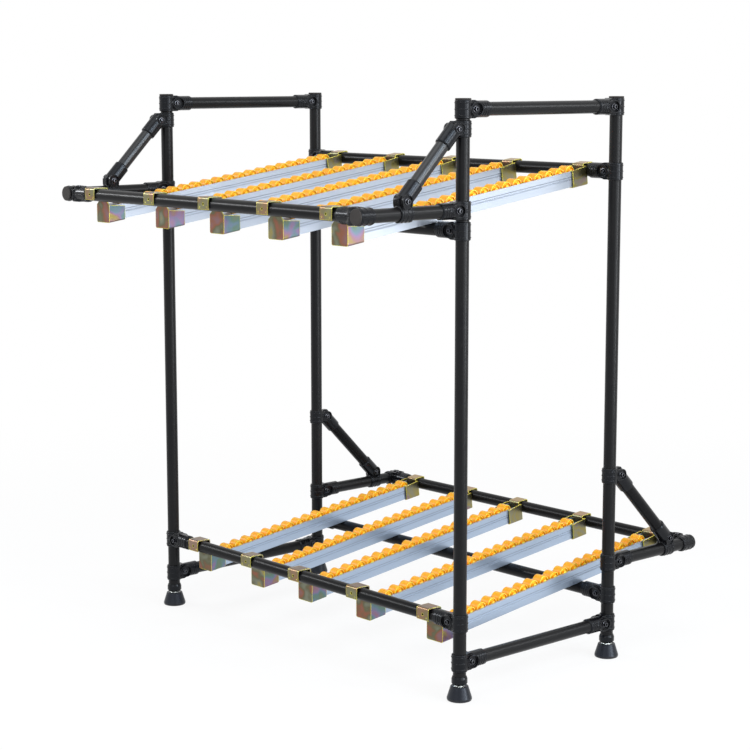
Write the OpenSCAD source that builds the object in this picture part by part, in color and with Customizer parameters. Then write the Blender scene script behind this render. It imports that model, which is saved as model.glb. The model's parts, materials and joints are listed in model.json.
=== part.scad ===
/*
Gravity-flow rack of coated steel tube, two-shell bolted tube joints and
aluminium roller track. Two sloping decks carry five tracks each.

Millimetres, +Z up. The origin is on the floor in the middle of the rack.
The front is -Y: goods roll down both decks towards it. X runs along the beams.
*/

/* [Frame] */
// distance between the post axes along the front
bay_width = 1006; // [800:1:1400]
// distance between the post axes from front to rear
bay_depth = 462; // [400:1:700]
// cut length of a post
post_length = 1200; // [1000:1:1700]
// height of the lower ends of the posts
post_start = 45; // [45:1:60]
// reach of the arms: the upper ones to the front, the lower ones to the rear
arm_reach = 266; // [250:1:360]
// outside diameter of the coated tube
tube_od = 28; // [27.6:0.1:28.2]
// wall of the tube with its coating
tube_wall = 1.7; // [1.2:0.1:2.2]
// thickness of the cap on an open tube end
cap_thickness = 3; // [2:0.5:5]
// diameter of the cap's disc
cap_d = 33; // [30:0.5:34]

/* [Levels] */
// from the post tops down to the upper arms and the upper front beam
upper_front_drop = 221; // [200:1:320]
// from the post tops down to the upper rear beam
upper_rear_drop = 158; // [120:1:180]
// height of the lower front beam
lower_front_height = 166; // [155:1:230]
// height of the lower arms and the lower rear beam
lower_rear_height = 218; // [212:1:300]
// height of the bottom side bars
bottom_bar_height = 81; // [75:1:84]

/* [Tube joints] */
// length of a joint's collar along the tube that runs through it
collar_length = 38; // [34:1:40]
// thickness of the shells round a tube
shell_wall = 3.1; // [2.5:0.1:3.5]
// open gap between the two shells of a joint
split_gap = 0.6; // [0.5:0.1:2]
// from the run axis to the end of the branch socket
socket_reach = 68; // [60:1:70]
// from the run axis to the cut end of the branch tube
branch_start = 40; // [38:1:44]
// from the run axis to the bolt of a square joint
tee_bolt_at = 22; // [21:0.5:24]
// half the width of the pocket of a square joint, for the bolt head or the nut
tee_pocket_r = 11.5; // [9:0.5:12]
// half the width of the pocket of a 45 degree joint
brace_pocket_r = 10.5; // [8:0.5:11]
// from the split plane to the floor of the pocket
pocket_floor = 13; // [11:0.5:14]
// length of the collar of a 45 degree joint
brace_collar_length = 34; // [30:1:36]
// from the run axis to the bolt of a 45 degree joint
brace_bolt_at = 25; // [24:0.5:27]
// from the bolt to the end of the brace socket
brace_socket_reach = 47; // [40:1:50]
// free length of post between the top joint and the joint of the upper brace
upper_brace_gap = 3; // [2:1:20]
// free length of arm between the joint of the lower brace and the beam joint
lower_brace_gap = 33; // [10:1:60]
// bolt diameter
bolt_d = 6; // [5:0.5:8]

/* [Roller track] */
// outside width of the rail
rail_width = 40; // [38:0.5:42]
// outside height of the rail
rail_height = 34.2; // [32:0.1:38]
// height of the thick band along the top of each side
band_height = 12.5; // [10:0.5:16]
// thickness of that band, which holds the axles
band_wall = 4.5; // [4:0.1:5]
// thickness of the rail's lower walls
rail_wall = 2; // [1.5:0.1:3]
// how far the lower walls step in below the band
rail_step = 0.6; // [0.4:0.1:1]
// from the front beam's axis down to the rail's top edge
rail_below_front = 29; // [27:0.5:34]
// from the rear beam's axis up to the rail's top edge
rail_above_rear = 7; // [3:0.5:10]
// diameter of a wheel
wheel_d = 28; // [25:0.5:29]
// width of a wheel
wheel_width = 24; // [20:0.5:28]
// wheels on one track
wheels_per_track = 19; // [12:1:20]
// from the front beam's axis to the first wheel
first_wheel = 80; // [76:1:100]
// from the last wheel to the rear beam's axis
last_wheel = 55; // [48:1:80]
// axle diameter
axle_d = 4; // [3:0.5:5]
// from the rail's top edge down to the axle
axle_sink = 3; // [2.5:0.5:6]

/* [Brackets] */
// thickness of the bracket sheet
sheet = 2.3; // [1.5:0.1:2.4]
// width of the strap over the front beam
strap_width = 36; // [30:1:40]
// width of the hook over the rear beam
hook_width = 32; // [26:1:40]
// length of the front bracket's box behind the beam's axis
front_box_end = 63; // [50:1:70]
// from the front beam's axis down to the top of that box
front_box_drop = 23; // [20:0.5:26]
// length of the rear bracket's box in front of the beam's axis
rear_box_end = 59.5; // [45:0.5:70]

/* [Feet] */
// largest diameter of a foot cup
cup_d = 53; // [45:1:60]
// height of a foot cup
cup_height = 31; // [28:1:31]
// diameter of a foot's stud
stud_d = 12; // [10:0.5:14]
// width across the flats of a stud's hexagon
hex_flats = 19; // [17:0.5:22]

/* [Hidden] */
$fn = 96;
// gap between faces that are meant to touch, such as a tube in its collar
seat = 0.05;
// overlap that takes a cut past the face it opens
past = 1;

tube_r = tube_od / 2;
bore_r = tube_r + seat;
tube_inner_r = tube_r - tube_wall;
shell_r = tube_r + shell_wall;

post_x = bay_width / 2;
post_y = bay_depth / 2;
post_top = post_start + post_length;
top_bar_z = post_top - collar_length / 2;
upper_front_z = post_top - upper_front_drop;
upper_rear_z = post_top - upper_rear_drop;
upper_front_y = -post_y - arm_reach;
lower_rear_y = post_y + arm_reach;

// how far each track's brackets have been slid along the beams from an even
// spacing between the beam sockets, left to right
upper_front_slides = [-4, 20, 12, 5, -0.6];
upper_rear_slides = [0, 6, -1, -11, -0.6];
lower_front_slides = [9, 9, -22, -26, -3];
lower_rear_slides = [2, -3, -29, -20, -3];

// each deck: the axes of its front and rear beams, then the slides along each
upper_deck = [
    [0, upper_front_y, upper_front_z],
    [0, post_y, upper_rear_z],
    upper_front_slides,
    upper_rear_slides
];
lower_deck = [
    [0, -post_y, lower_front_height],
    [0, lower_rear_y, lower_rear_height],
    lower_front_slides,
    lower_rear_slides
];

// the rail climbs more steeply than the line between the beams, because it
// hangs below the front beam and stands above the rear one
deck_lift = rail_below_front + rail_above_rear;
function deck_line(deck) = deck[1] - deck[0];
function deck_run(deck) = sqrt(pow(norm(deck_line(deck)), 2) - pow(deck_lift, 2));
function deck_angle(deck) =
    atan2(deck_line(deck).z, deck_line(deck).y) + asin(deck_lift / norm(deck_line(deck)));

// room under a rail, so that one that lies a little askew rests on its edge
rail_rest = 0.2;
// a middle beam carries the rails between the posts
middle_sink = rail_below_front + rail_height + tube_r + rail_rest;
function middle_beam_z(deck, y) =
    let (angle = deck_angle(deck))
    let (along = (y - deck[0].y - middle_sink * sin(angle)) / cos(angle))
    deck[0].z + along * sin(angle) - middle_sink * cos(angle);
upper_middle_z = middle_beam_z(upper_deck, -post_y);
lower_middle_z = middle_beam_z(lower_deck, post_y);

// a brace's axis meets the post and the arm this far from their corner
upper_brace_leg = upper_front_drop - collar_length - upper_brace_gap
    - brace_collar_length / 2 + brace_bolt_at;
lower_brace_leg = arm_reach - collar_length / 2 - lower_brace_gap
    - brace_collar_length / 2 + brace_bolt_at;
// the brace tube starts this far past the bolt, along the brace
brace_tube_start = 16;
// from the point where the axes meet to the cut end of the brace tube
brace_cut = brace_bolt_at * sqrt(2) + brace_tube_start;

bracket_clearance = 2.2;
box_width = rail_width + 2 * bracket_clearance + 2 * sheet;
outer_track_x = post_x - socket_reach - box_width / 2 - 0.5;
last_track = len(upper_front_slides) - 1;
track_pitch = 2 * outer_track_x / last_track;
function front_x(deck, i) = i * track_pitch - outer_track_x + deck[2][i];
function rear_x(deck, i) = i * track_pitch - outer_track_x + deck[3][i];

// each rail runs through the middles of its two brackets' boxes
box_wall_front = tube_r + 5.5;
front_box_middle = (box_wall_front + front_box_end) / 2;
rear_box_middle = (tube_r + rear_box_end) / 2;
function rail_turn(deck, i) =
    atan2(
        front_x(deck, i) - rear_x(deck, i),
        deck_line(deck).y - front_box_middle - rear_box_middle
    );
function rail_x(deck, i) = front_x(deck, i) + front_box_middle * tan(rail_turn(deck, i));

// the rail starts where its upper edge clears the front bracket's wall
function rail_start(deck) =
    (box_wall_front + sheet + past - rail_below_front * sin(deck_angle(deck)))
        / cos(deck_angle(deck));
rail_end_gap = tube_r + 0.2 + sheet + past;
function wheel_pitch(deck) =
    (deck_run(deck) - first_wheel - last_wheel) / (wheels_per_track - 1);
function wheel_at(deck, k) = first_wheel + k * wheel_pitch(deck);

wheel_r = wheel_d / 2;
rim_wall = 2;
hub_r = 6;
web_half = 8.5;
hub_half = rail_width / 2 - band_wall - 0.3;
axle_half = rail_width / 2 - 1.5;
axle_r = axle_d / 2;

tee_web_half = 10;
brace_web_half = 5;
chamfer = 1.5;
rim_rise = 0.5;
rim_width = 2.4;
rib_rise = 0.8;
rib_width = 1.8;
collar_rib_arc = 140;
socket_rib_arc = 100;
bolt_r = bolt_d / 2;
bolt_head_r = bolt_d * 0.83;
bolt_head_h = bolt_d;
nut_flats = bolt_d * 5 / 3;
nut_h = bolt_d * 5 / 6;
bolt_tip = pocket_floor + bolt_d;

upright = [0, 0, 1];
rearward = [0, 1, 0];
rightward = [1, 0, 0];

// the left post first, then the right one
sides = [-1, 1];

// ---------------------------------------------------------------- helpers

// hollow tube between two points
module tube(from, to) {
    way = to - from;
    length = norm(way);
    translate(from)
        rotate([0, acos(way.z / length), atan2(way.y, way.x)])
            difference() {
                cylinder(h = length, r = tube_r);
                translate([0, 0, -past]) cylinder(h = length + 2 * past, r = tube_inner_r);
            }
}

// puts local X on the branch, local Z on the run and local +Y on the side named face
module place(at, run, branch, face) {
    side = cross(run, branch);
    multmatrix([
        [branch.x, side.x, run.x, at.x],
        [branch.y, side.y, run.y, at.y],
        [branch.z, side.z, run.z, at.z],
        [0, 0, 0, 1]
    ])
        mirror([0, side * face < 0 ? 1 : 0, 0]) children();
}

// the frame of a track: Y runs along its rail, Z square to it, X stays level
module on_tracks(deck, from, to) {
    for (i = [from : to])
        translate([rail_x(deck, i), deck[0].y, deck[0].z])
            rotate([deck_angle(deck), 0, rail_turn(deck, i)]) children();
}

// upright and square to the front beam, at each track's front bracket
module at_front_brackets(deck) {
    for (i = [0 : last_track])
        translate([front_x(deck, i), deck[0].y, deck[0].z]) children();
}

// square to the rear beam and sloping with the deck, at each rear bracket
module at_rear_brackets(deck) {
    for (i = [0 : last_track])
        translate([rear_x(deck, i), deck[0].y, deck[0].z])
            rotate([deck_angle(deck), 0, 0])
                translate([0, deck_run(deck), -deck_lift]) children();
}

// flat outline drawn in X and Z, with its thickness centred on the split plane
module plate_xz(thickness) {
    rotate([90, 0, 0]) linear_extrude(thickness, center = true) children();
}

// outline drawn along the rail (first) and square to it, extruded across it
module across(width) {
    rotate([90, 0, 90]) linear_extrude(width, center = true) children();
}

// outline drawn across the rail and square to it, extruded along the rail
module along(from, to) {
    translate([0, to, 0]) rotate([90, 0, 0]) linear_extrude(to - from) children();
}

// ---------------------------------------------------------------- frame tubes

module post(side_x, side_y) {
    at = [side_x * post_x, side_y * post_y, 0];
    tube(at + post_start * upright, at + post_top * upright);
}

module side_bars(z) {
    half = post_y - branch_start;
    for (s = sides) tube([s * post_x, -half, z], [s * post_x, half, z]);
}

module arms(root_y, tip_y, z) {
    for (s = sides) tube([s * post_x, root_y, z], [s * post_x, tip_y, z]);
}

module beam(y, z) {
    half = post_x - branch_start;
    tube([-half, y, z], [half, y, z]);
}

// braces in the corner above an arm that leaves its post towards out
module braces(post_y_at, arm_z, out, leg) {
    near = brace_cut / sqrt(2);
    far = leg - near;
    for (s = sides)
        tube(
            [s * post_x, post_y_at + out * near, arm_z + far],
            [s * post_x, post_y_at + out * far, arm_z + near]
        );
}

// ---------------------------------------------------------------- tube joints

// revolved collar or socket with a chamfer at both ends
module sleeve(from, to, inset_from, inset_to) {
    rotate_extrude()
        polygon([
            [0, from],
            [shell_r - inset_from, from],
            [shell_r, from + inset_from],
            [shell_r, to - inset_to],
            [shell_r - inset_to, to],
            [0, to]
        ]);
}

// raised ribs round the outer side of a sleeve, at the given stations
module ribs(stations, arc) {
    rotate([0, 0, 90 - arc / 2])
        for (z = stations)
            rotate_extrude(angle = arc)
                translate([shell_r - past, z - rib_width / 2])
                    square([rib_rise + past, rib_width]);
}

// outline of a joint's pocket: a slot with round ends centred at from and to
module slot_outline(from, to, r) {
    translate([from, 0]) circle(r);
    translate([to, 0]) circle(r);
    translate([from, -r]) square([to - from, 2 * r]);
}

module tee_pocket_outline(r) {
    slot_outline(tee_bolt_at - 1.2, branch_start - tee_pocket_r - 1, r);
}

module brace_pocket_outline(r) {
    slot_outline(brace_bolt_at - 5.5, brace_bolt_at + 2, r);
}

// extrudes a pocket outline outwards from the split plane
module outwards(from, to) {
    translate([0, from, 0]) rotate([-90, 0, 0]) linear_extrude(to - from) children();
}

module bolt_hole(x) {
    translate([x, 0, 0]) rotate([-90, 0, 0]) cylinder(h = shell_r * 2, r = bolt_r + 0.2);
}

// everything on the far side of the split plane, with half the open gap
module behind_split() {
    size = 2 * (socket_reach + brace_socket_reach);
    translate([-size / 2, split_gap / 2 - size, -size / 2]) cube(size);
}

// one shell of a square joint, on the +Y side of the split plane
module tee_shell() {
    half = collar_length / 2;
    socket_middle = (branch_start + socket_reach) / 2;
    difference() {
        union() {
            sleeve(-half, half, chamfer, chamfer);
            ribs([-0.68 * half, 0, 0.68 * half], collar_rib_arc);
            rotate([0, 90, 0]) {
                sleeve(0, socket_reach, 0, 2 * chamfer);
                ribs(
                    [socket_middle - 10, socket_middle - 3.5, socket_middle + 3],
                    socket_rib_arc
                );
            }
            plate_xz(2 * tee_web_half)
                polygon([
                    [0, -half + 0.6],
                    [tee_bolt_at + 2, -half + 0.6],
                    [branch_start - 4, -tube_r],
                    [branch_start - 4, tube_r],
                    [tee_bolt_at + 2, half - 0.6],
                    [0, half - 0.6]
                ]);
            outwards(0, shell_r + rim_rise) tee_pocket_outline(tee_pocket_r + rim_width);
        }
        behind_split();
        translate([0, 0, -collar_length]) cylinder(h = 2 * collar_length, r = bore_r);
        translate([branch_start - 0.5, 0, 0])
            rotate([0, 90, 0]) cylinder(h = socket_reach, r = bore_r);
        outwards(pocket_floor, 2 * shell_r) tee_pocket_outline(tee_pocket_r);
        bolt_hole(tee_bolt_at);
    }
}

// one shell of a 45 degree joint, on the +Y side of the split plane
module brace_shell() {
    half = brace_collar_length / 2;
    corner_x = brace_bolt_at + shell_r * sqrt(2) - half;
    difference() {
        union() {
            sleeve(-half, half, chamfer, chamfer);
            ribs([-0.6 * half, 0, 0.6 * half], collar_rib_arc);
            translate([brace_bolt_at, 0, 0])
                rotate([0, 135, 0]) sleeve(0, brace_socket_reach, 0, 2 * chamfer);
            plate_xz(2 * brace_web_half)
                polygon([
                    [0, half - 0.6],
                    [corner_x - 0.6, half - 0.6],
                    [corner_x + 11, half - 13],
                    [brace_bolt_at, -half],
                    [tube_r, -half + 0.6],
                    [0, -half + 0.6]
                ]);
            outwards(0, shell_r - 2) brace_pocket_outline(brace_pocket_r + rim_width);
        }
        behind_split();
        translate([0, 0, -collar_length]) cylinder(h = 2 * collar_length, r = bore_r);
        translate([brace_bolt_at, 0, 0])
            rotate([0, 135, 0])
                translate([0, 0, brace_tube_start - 0.5])
                    cylinder(h = brace_socket_reach, r = bore_r);
        outwards(pocket_floor, 2 * shell_r) brace_pocket_outline(brace_pocket_r);
        bolt_hole(brace_bolt_at);
    }
}

module inner_half() {
    mirror([0, 1, 0]) children();
}

// socket head screw through both shells, with its head on the +Y side
module bolt(x) {
    translate([x, 0, 0])
        rotate([-90, 0, 0])
            difference() {
                union() {
                    translate([0, 0, -bolt_tip])
                        cylinder(h = bolt_tip + pocket_floor + past, r = bolt_r);
                    translate([0, 0, pocket_floor])
                        cylinder(h = bolt_head_h, r = bolt_head_r);
                }
                translate([0, 0, pocket_floor + bolt_head_h / 2])
                    cylinder(h = bolt_head_h, d = bolt_d * 0.96, $fn = 6);
            }
}

module nut(x) {
    translate([x, 0, 0])
        rotate([90, 0, 0])
            translate([0, 0, pocket_floor])
                difference() {
                    cylinder(h = nut_h, d = nut_flats / cos(30), $fn = 6);
                    translate([0, 0, -past]) cylinder(h = nut_h + 2 * past, r = bolt_r + 0.02);
                }
}

// all square joints: on the posts, then where the arms carry the outer beams
module at_every_tee() {
    for (s = sides) {
        x = s * post_x;
        inward = [-s, 0, 0];
        for (y = [-post_y, post_y]) {
            to_middle = y < 0 ? rearward : -rearward;
            place([x, y, top_bar_z], upright, to_middle, rightward) children();
            place([x, y, bottom_bar_height], upright, to_middle, rightward) children();
        }
        place([x, -post_y, upper_front_z], upright, -rearward, rightward) children();
        place([x, post_y, lower_rear_height], upright, rearward, rightward) children();
        place([x, -post_y, upper_middle_z], upright, inward, -rearward) children();
        place([x, post_y, upper_rear_z], upright, inward, -rearward) children();
        place([x, -post_y, lower_front_height], upright, inward, -rearward) children();
        place([x, post_y, lower_middle_z], upright, inward, -rearward) children();
        place([x, upper_front_y, upper_front_z], rearward, inward, upright) children();
        place([x, lower_rear_y, lower_rear_height], rearward, inward, upright) children();
    }
}

// all 45 degree joints: two to a brace
module at_every_brace_joint() {
    upper_at = upper_brace_leg - brace_bolt_at;
    lower_at = lower_brace_leg - brace_bolt_at;
    for (s = sides) {
        x = s * post_x;
        place([x, -post_y, upper_front_z + upper_at], upright, -rearward, rightward)
            children();
        place([x, -post_y - upper_at, upper_front_z], -rearward, upright, rightward)
            children();
        place([x, post_y, lower_rear_height + lower_at], upright, rearward, rightward)
            children();
        place([x, post_y + lower_at, lower_rear_height], rearward, upright, rightward)
            children();
    }
}

// ---------------------------------------------------------------- tube ends

// cap with a plug, standing on the tube's end
module end_cap() {
    plug_r = tube_inner_r - seat;
    plug_h = 12;
    rotate_extrude()
        polygon([
            [0, -plug_h],
            [plug_r - chamfer, -plug_h],
            [plug_r, chamfer - plug_h],
            [plug_r, 0],
            [cap_d / 2, 0],
            [cap_d / 2, cap_thickness - 1],
            [cap_d / 2 - 1, cap_thickness],
            [0, cap_thickness]
        ]);
}

module tube_end_caps() {
    for (s = sides) {
        for (y = [-post_y, post_y]) translate([s * post_x, y, post_top]) end_cap();
        translate([s * post_x, upper_front_y - collar_length / 2, upper_front_z])
            rotate([90, 0, 0]) end_cap();
        translate([s * post_x, lower_rear_y + collar_length / 2, lower_rear_height])
            rotate([-90, 0, 0]) end_cap();
    }
}

// ---------------------------------------------------------------- feet

thread_r = stud_d / 2;
thread_fit = 0.08;
socket_bottom = post_start - 12;
socket_lip = post_start + 7;
plug_top = post_start + 17;
cup_recess = cup_height - 9;
stud_bottom = 6;
stud_top = post_start + 43;

// insert that closes the lower end of a post and takes the stud
module foot_socket() {
    rotate_extrude()
        polygon([
            [thread_r + thread_fit, socket_bottom],
            [tube_inner_r - 0.3, socket_bottom],
            [shell_r - 0.1, socket_bottom + 4.5],
            [shell_r - 0.1, socket_lip - 5],
            [tube_r + 1.2, socket_lip],
            [bore_r, socket_lip],
            [bore_r, post_start],
            [tube_inner_r - seat, post_start],
            [tube_inner_r - seat, plug_top],
            [thread_r + thread_fit, plug_top]
        ]);
}

module foot_cup() {
    r = cup_d / 2;
    rotate_extrude()
        polygon([
            [0, 0],
            [r - 3, 0],
            [r - 0.9, 0.9],
            [r, 3],
            [r, 6],
            [r - 7.5, cup_height - 0.8],
            [r - 8.3, cup_height],
            [hex_flats / 2 + 3.5, cup_height],
            [hex_flats / 2 + 3, cup_recess],
            [thread_r + thread_fit, cup_recess],
            [thread_r + thread_fit, stud_bottom],
            [0, stud_bottom]
        ]);
}

// threaded stud with a hexagon that sits in the cup's recess
module foot_stud() {
    hex_bottom = cup_recess + 0.4;
    hex_h = 9.8;
    union() {
        translate([0, 0, stud_bottom + 0.3])
            cylinder(h = stud_top - stud_bottom - 0.3, r = thread_r);
        intersection() {
            translate([0, 0, hex_bottom]) cylinder(h = hex_h, d = hex_flats / cos(30), $fn = 6);
            // turned corners of the hexagon
            rotate_extrude()
                polygon([
                    [0, hex_bottom],
                    [hex_flats / 2, hex_bottom],
                    [hex_flats / 2 + 1.6, hex_bottom + 1],
                    [hex_flats / 2 + 1.6, hex_bottom + hex_h - 1],
                    [hex_flats / 2, hex_bottom + hex_h],
                    [0, hex_bottom + hex_h]
                ]);
        }
    }
}

module at_foot(side_x, side_y) {
    translate([side_x * post_x, side_y * post_y, 0]) children();
}

// ---------------------------------------------------------------- roller track

// open channel seen along the rail, with its top edge at height 0
module rail_section() {
    stepped = rail_width / 2 - rail_step;
    difference() {
        rail_outline();
        mirrored_pair() {
            rail_groove(rail_width / 2, -band_height, 1.6);
            rail_groove(stepped, -band_height - 4, 0.8);
            rail_groove(stepped, -band_height - 6.5, 0.8);
        }
    }
}

module mirrored_pair() {
    children();
    mirror([1, 0]) children();
}

// V groove that runs along the rail's outer face
module rail_groove(face, height, size) {
    translate([face, height]) rotate(45) square(size, center = true);
}

module rail_outline() {
    outer = rail_width / 2;
    stepped = outer - rail_step;
    polygon([
        [-outer, 0],
        [-outer, -band_height],
        [-stepped, -band_height - rail_step],
        [-stepped, -rail_height],
        [stepped, -rail_height],
        [stepped, -band_height - rail_step],
        [outer, -band_height],
        [outer, 0],
        [outer - band_wall, 0],
        [outer - band_wall, -band_height],
        [stepped - rail_wall, -band_height - rail_step],
        [stepped - rail_wall, rail_wall - rail_height],
        [rail_wall - stepped, rail_wall - rail_height],
        [rail_wall - stepped, -band_height - rail_step],
        [band_wall - outer, -band_height],
        [band_wall - outer, 0]
    ]);
}

module at_wheels(deck, from, to) {
    for (k = [from : to])
        translate([0, wheel_at(deck, k), -rail_below_front - axle_sink])
            rotate([0, 90, 0]) children();
}

module rail(deck) {
    difference() {
        translate([0, 0, -rail_below_front])
            along(rail_start(deck), deck_run(deck) - rail_end_gap) rail_section();
        at_wheels(deck, 0, wheels_per_track - 1)
            cylinder(h = 2 * axle_half + 0.2, r = axle_r + seat, center = true);
    }
}

module axles(deck) {
    at_wheels(deck, 0, wheels_per_track - 1)
        cylinder(h = 2 * axle_half, r = axle_r, center = true);
}

// wheel about its axle, with a thin rim, a middle web and a long hub
module wheel() {
    half = wheel_width / 2;
    bore = axle_r + 0.06;
    rotate_extrude()
        polygon([
            [bore, -hub_half],
            [hub_r, -hub_half],
            [hub_r, -web_half],
            [wheel_r - rim_wall, -web_half],
            [wheel_r - rim_wall, -half],
            [wheel_r - 0.6, -half],
            [wheel_r, 0.6 - half],
            [wheel_r, half - 0.6],
            [wheel_r - 0.6, half],
            [wheel_r - rim_wall, half],
            [wheel_r - rim_wall, web_half],
            [hub_r, web_half],
            [hub_r, hub_half],
            [bore, hub_half]
        ]);
}

// the free-running wheels of the right-hand upper track, one node each
module roller_wheel(k) {
    on_tracks(upper_deck, last_track, last_track) at_wheels(upper_deck, k, k) wheel();
}

// ---------------------------------------------------------------- brackets

strap_inner = tube_r + 0.2;
strap_outer = strap_inner + sheet;
strap_foot = -10.5;
bend = 5;

// block with two round upper corners
module arch(from, to, bottom, top, r) {
    translate([from, bottom]) square([to - from, top - r - bottom]);
    translate([from + r, top - r]) circle(r);
    translate([to - r, top - r]) circle(r);
    translate([from + r, top - 2 * r]) square([to - from - 2 * r, 2 * r]);
}

// bent strap that hooks over a beam: short leg at from, long leg down to bottom
module strap_outline(from, to, bottom) {
    difference() {
        arch(from, to, bottom, strap_outer, bend);
        arch(from + sheet, to - sheet, bottom - past, strap_inner, bend - sheet);
        translate([from - past, bottom - past])
            square([to - from - sheet, strap_foot - bottom + past]);
    }
}

// outside of the box that takes the rail, seen along it, from its floor up to top
module box_outline(floor_z, top) {
    half = box_width / 2;
    mirror([0, 1]) arch(-half, half, -top, -floor_z, bend - 1);
}

// the same box as an open channel of bent sheet
module cradle_outline(floor_z, top) {
    half = box_width / 2 - sheet;
    difference() {
        box_outline(floor_z, top);
        mirror([0, 1]) arch(-half, half, -top - past, -floor_z - sheet, bend - 1 - sheet);
    }
}

// one part of the box under the deck's slope, cut upright at both ends; its top
// falls towards the rear
module box_part(deck, from, to, fall) {
    intersection() {
        rotate([deck_angle(deck), 0, 0]) along(0, 2 * front_box_end) children();
        across(2 * box_width)
            polygon([
                [from, -front_box_drop],
                [to, -front_box_drop - fall],
                [to, -3 * rail_height],
                [from, -3 * rail_height]
            ]);
    }
}

module front_bracket(deck) {
    floor_z = -rail_below_front - rail_height - rail_rest - sheet;
    wall_back = box_wall_front + sheet;
    half = box_width / 2;
    difference() {
        union() {
            across(strap_width) strap_outline(-strap_outer, wall_back, floor_z + 2 * bend);
            // front wall, flared from the strap to the box
            along(box_wall_front, wall_back)
                polygon([
                    [-strap_width / 2, 6 - front_box_drop],
                    [-half, -front_box_drop],
                    [-half, -front_box_drop - 6],
                    [half, -front_box_drop - 6],
                    [half, -front_box_drop],
                    [strap_width / 2, 6 - front_box_drop]
                ]);
            box_part(deck, box_wall_front, wall_back, 0) box_outline(floor_z, 0);
            box_part(deck, wall_back - 1, front_box_end, 2.5) cradle_outline(floor_z, 0);
        }
        // screw hole and two dimples in the front leg
        translate([0, -strap_outer - past, 1.5])
            rotate([-90, 0, 0]) cylinder(h = sheet + 2 * past, r = 2.6);
        for (x = [-12, 12])
            translate([x, -strap_outer - past, -5])
                rotate([-90, 0, 0]) cylinder(h = past + 0.6, r = 1.3);
    }
}

module rear_bracket() {
    floor_z = rail_above_rear - rail_height - rail_rest - sheet;
    box_top = rail_above_rear + 1;
    ear_top = strap_outer - bend;
    half = box_width / 2;
    union() {
        mirror([0, 1, 0])
            across(hook_width) strap_outline(-strap_outer, strap_outer, floor_z + bend);
        // back wall of the box, narrowed to the hook
        along(-strap_outer, -strap_inner)
            polygon([
                [-half, ear_top],
                [-half, floor_z + bend],
                [bend - half, floor_z],
                [half - bend, floor_z],
                [half, floor_z + bend],
                [half, ear_top]
            ]);
        difference() {
            along(-rear_box_end, -strap_inner) cradle_outline(floor_z, ear_top);
            // the side walls get lower towards the front
            across(2 * box_width)
                polygon([
                    [-rear_box_end - past, box_top],
                    [-strap_outer, ear_top],
                    [-strap_outer, 2 * ear_top],
                    [-rear_box_end - past, 2 * ear_top]
                ]);
        }
    }
}

// ---------------------------------------------------------------- nodes

wheel_names = [
    for (k = [1 : wheels_per_track]) str("roller_wheel_", k < 10 ? "0" : "", k)
];
corner_names = ["front_left", "front_right", "rear_left", "rear_right"];
corner_x = [-1, 1, -1, 1];
corner_y = [-1, -1, 1, 1];

black = [0.06, 0.06, 0.07];
zinc = [0.62, 0.64, 0.66];
aluminium = [0.78, 0.8, 0.84];
orange = [1, 0.62, 0.15];
chromate = [0.8, 0.66, 0.25];

for (c = [0 : 3]) {
    color(black) post(corner_x[c], corner_y[c]);
    color(black) at_foot(corner_x[c], corner_y[c]) foot_cup();
    color(zinc) at_foot(corner_x[c], corner_y[c]) foot_stud();
}
color(black) side_bars(top_bar_z);  // top_side_bars
color(black) side_bars(bottom_bar_height);  // bottom_side_bars
color(black)  // upper_arms
        arms(-post_y - branch_start, upper_front_y - collar_length / 2, upper_front_z);
color(black)  // lower_arms
        arms(post_y + branch_start, lower_rear_y + collar_length / 2, lower_rear_height);
color(black) braces(-post_y, upper_front_z, -1, upper_brace_leg);  // upper_braces
color(black) braces(post_y, lower_rear_height, 1, lower_brace_leg);  // lower_braces
color(black) beam(upper_front_y, upper_front_z);  // upper_front_beam
color(black) beam(-post_y, upper_middle_z);  // upper_middle_beam
color(black) beam(post_y, upper_rear_z);  // upper_rear_beam
color(black) beam(-post_y, lower_front_height);  // lower_front_beam
color(black) beam(post_y, lower_middle_z);  // lower_middle_beam
color(black) beam(lower_rear_y, lower_rear_height);  // lower_rear_beam
color(black) at_every_tee() tee_shell();  // tee_joint_outer_shells
color(black) at_every_tee() inner_half() tee_shell();  // tee_joint_inner_shells
color(black) at_every_brace_joint() brace_shell();  // brace_joint_outer_shells
color(black) at_every_brace_joint() inner_half() brace_shell();  // brace_joint_inner_shells
color(zinc) {  // joint_bolts
        at_every_tee() bolt(tee_bolt_at);
        at_every_brace_joint() bolt(brace_bolt_at);
    }
color(zinc) {  // joint_nuts
        at_every_tee() nut(tee_bolt_at);
        at_every_brace_joint() nut(brace_bolt_at);
    }
color(black) tube_end_caps();
color(black) for (c = [0 : 3]) at_foot(corner_x[c], corner_y[c]) foot_socket();  // foot_sockets
color(aluminium) on_tracks(upper_deck, 0, last_track) rail(upper_deck);  // upper_rails
color(aluminium) on_tracks(lower_deck, 0, last_track) rail(lower_deck);  // lower_rails
color(chromate) {  // front_brackets
        at_front_brackets(upper_deck) front_bracket(upper_deck);
        at_front_brackets(lower_deck) front_bracket(lower_deck);
    }
color(chromate) {  // rear_brackets
        at_rear_brackets(upper_deck) rear_bracket();
        at_rear_brackets(lower_deck) rear_bracket();
    }
color(zinc) on_tracks(upper_deck, 0, last_track) axles(upper_deck);  // upper_axles
color(zinc) on_tracks(lower_deck, 0, last_track) axles(lower_deck);  // lower_axles
color(orange) on_tracks(upper_deck, 0, last_track - 1)  // upper_wheels
        at_wheels(upper_deck, 0, wheels_per_track - 1) wheel();
color(orange) on_tracks(lower_deck, 0, last_track)  // lower_wheels
        at_wheels(lower_deck, 0, wheels_per_track - 1) wheel();
for (k = [1 : wheels_per_track])
    color(orange) roller_wheel(k - 1);
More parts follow.
